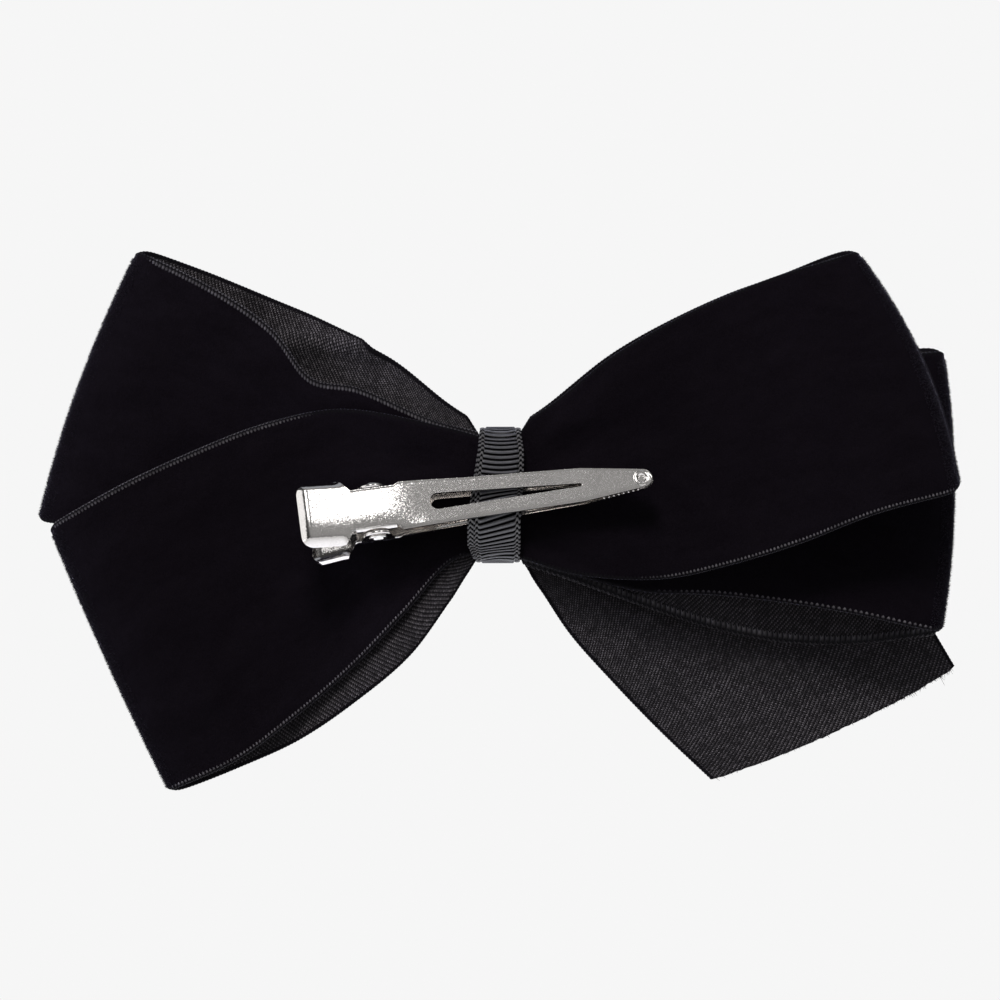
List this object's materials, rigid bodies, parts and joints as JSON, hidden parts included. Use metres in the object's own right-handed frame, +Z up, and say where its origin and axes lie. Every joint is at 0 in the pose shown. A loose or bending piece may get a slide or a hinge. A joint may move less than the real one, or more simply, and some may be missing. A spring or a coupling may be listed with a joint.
{
  "type": "hair bow",
  "caption": "Black velvet ribbon hair bow with folded loops and a tail, bound by a grosgrain band to a sprung, slotted metal alligator clip that opens on a hinge pin.",
  "frame": {"origin": "the grip point between the clip's two jaws, over the middle of the band, where the hair is held", "axes": "+X along the bow's width, towards the clip's handles; +Z up the bow as worn; +Y from the bow towards the head, so the clip is on the +Y side and the decorative front faces -Y"},
  "size_m": [0.1204, 0.0288, 0.071],
  "materials": {
    "velvet": "black cotton-pile velvet ribbon with a woven wrong side and stitched selvedges",
    "grosgrain": "black ribbed grosgrain ribbon",
    "thread": "black sewing thread",
    "glue": "set hot-melt glue",
    "clip_plate": "bright nickel-plated pressed steel sheet",
    "pin_steel": "nickel-plated pin with pressed heads",
    "spring_steel": "bright drawn spring wire"
  },
  "bodies": {
    "bow": {"velvet_loop_upper_left": "velvet", "velvet_loop_lower_left": "velvet", "velvet_loop_upper_right": "velvet", "velvet_loop_lower_right": "velvet", "velvet_tail": "velvet", "binding_thread": "thread", "grosgrain_band": "grosgrain", "glue_pad": "glue", "clip_lower_lever": "clip_plate", "hinge_pin": "pin_steel", "torsion_spring": "spring_steel"},
    "upper_lever": {"clip_upper_lever": "clip_plate"}
  },
  "joints": [
    {"name": "jaw_hinge", "type": "hinge", "parent": "bow", "child": "upper_lever", "pos_m": [0.0162, 0.00031, -0.00223], "axis": [-0.1271, 0.2756, -0.9528], "range_deg": [0, 30], "stiffness_Nm_per_rad": 0.03, "springref_deg": -28.65, "deforming": ["torsion_spring"]}
  ]
}
